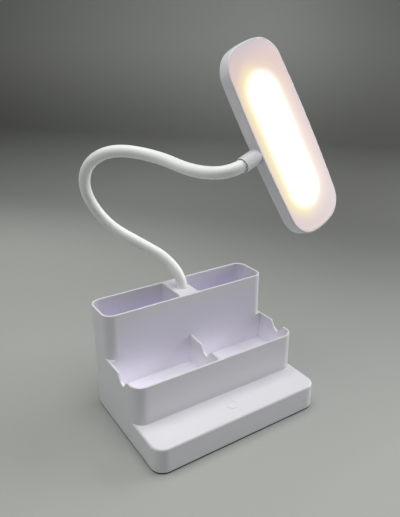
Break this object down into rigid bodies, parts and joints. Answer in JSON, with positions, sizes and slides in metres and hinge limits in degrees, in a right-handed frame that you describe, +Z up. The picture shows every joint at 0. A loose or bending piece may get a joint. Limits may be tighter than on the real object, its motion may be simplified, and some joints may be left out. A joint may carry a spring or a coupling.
{
  "type": "desk lamp with organiser base",
  "caption": "White rechargeable desk lamp: a flat oblong light head on a bendable neck that rises from a base with pen cups, trays and a phone slot.",
  "frame": {"origin": "middle of the base's rest face, under the foot mat", "axes": "+X to the right along the base's width, +Y to the back, +Z up"},
  "size_m": [0.1797, 0.1532, 0.3051],
  "materials": {
    "ballast_steel": "matte",
    "board_green": "satin",
    "brass": "satin",
    "cell_blue": "satin",
    "chip_black": "matte",
    "collar_white": "satin",
    "cover_grey": "matte",
    "diffuser_milky": "satin",
    "electrode": "satin",
    "head_white": "satin",
    "hose_steel": "satin",
    "lead_grey": "matte",
    "lead_red": "matte",
    "led_board_white": "satin",
    "led_yellow": "satin",
    "mat_black": "matte",
    "screw_steel": "satin",
    "shell_white": "satin",
    "sleeve_white": "satin",
    "strap_steel": "satin"
  },
  "bodies": {
    "base": {"ballast_plates": "ballast_steel", "ballast_screws": "screw_steel", "battery_cell": "cell_blue", "battery_lead": "lead_red", "battery_strap": "strap_steel", "board_parts": "chip_black", "board_screws": "screw_steel", "body_shell": "shell_white", "bottom_cover": "cover_grey", "charging_socket": "screw_steel", "control_board": "board_green", "cover_screws": "screw_steel", "foot_mat": "mat_black", "lamp_lead": "lead_grey", "neck_hose_0": "hose_steel", "neck_nut": "brass", "neck_sleeve_0": "sleeve_white", "neck_stud": "brass", "neck_washer": "screw_steel", "strap_screws": "screw_steel", "touch_lead": "lead_red", "touch_plate": "electrode"},
    "neck_link_1": {"neck_hose_1": "hose_steel", "neck_lead_1": "lead_grey", "neck_sleeve_1": "sleeve_white"},
    "neck_link_2": {"neck_hose_2": "hose_steel", "neck_lead_2": "lead_grey", "neck_sleeve_2": "sleeve_white"},
    "neck_link_3": {"neck_hose_3": "hose_steel", "neck_lead_3": "lead_grey", "neck_sleeve_3": "sleeve_white"},
    "neck_link_4": {"neck_hose_4": "hose_steel", "neck_lead_4": "lead_grey", "neck_sleeve_4": "sleeve_white"},
    "neck_link_5": {"neck_hose_5": "hose_steel", "neck_lead_5": "lead_grey", "neck_sleeve_5": "sleeve_white"},
    "neck_link_6": {"neck_hose_6": "hose_steel", "neck_lead_6": "lead_grey", "neck_sleeve_6": "sleeve_white"},
    "neck_link_7": {"neck_hose_7": "hose_steel", "neck_lead_7": "lead_grey", "neck_sleeve_7": "sleeve_white"},
    "lamp_head": {"head_collar": "collar_white", "head_diffuser": "diffuser_milky", "head_lead": "lead_grey", "head_nut": "brass", "head_shell": "head_white", "head_stud": "brass", "led_board": "led_board_white", "led_chips": "led_yellow", "led_screws": "screw_steel", "neck_hose_8": "hose_steel", "neck_sleeve_8": "sleeve_white"}
  },
  "joints": [
    {"name": "neck_bend_1", "type": "hinge", "parent": "base", "child": "neck_link_1", "pos_m": [0.0011, 0.04057, 0.10598], "axis": [-0.8687, -0.4953, 0], "range_deg": [-30, 30]},
    {"name": "neck_bend_2", "type": "hinge", "parent": "neck_link_1", "child": "neck_link_2", "pos_m": [-0.016, 0.06315, 0.13136], "axis": [0.3182, -0.317, 0.8935], "range_deg": [-30, 30]},
    {"name": "neck_bend_3", "type": "hinge", "parent": "neck_link_2", "child": "neck_link_3", "pos_m": [-0.04076, 0.0864, 0.1502], "axis": [0.5383, 0.8428, 0], "range_deg": [-30, 30]},
    {"name": "neck_bend_4", "type": "hinge", "parent": "neck_link_3", "child": "neck_link_4", "pos_m": [-0.06125, 0.08823, 0.18227], "axis": [0.718, 0.5474, 0.43], "range_deg": [-30, 30]},
    {"name": "neck_bend_5", "type": "hinge", "parent": "neck_link_4", "child": "neck_link_5", "pos_m": [-0.0632, 0.06757, 0.21399], "axis": [-0.9429, -0.3331, 0], "range_deg": [-30, 30]},
    {"name": "neck_bend_6", "type": "hinge", "parent": "neck_link_5", "child": "neck_link_6", "pos_m": [-0.04269, 0.038, 0.22475], "axis": [0.0987, -0.0856, 0.9914], "range_deg": [-30, 30]},
    {"name": "neck_bend_7", "type": "hinge", "parent": "neck_link_6", "child": "neck_link_7", "pos_m": [-0.02257, 0.00613, 0.21869], "axis": [-0.9662, -0.2577, 0], "range_deg": [-30, 30]},
    {"name": "neck_bend_8", "type": "hinge", "parent": "neck_link_7", "child": "lamp_head", "pos_m": [-0.00596, -0.02835, 0.2164], "axis": [-0.083, 0.0784, 0.9935], "range_deg": [-30, 30]}
  ]
}
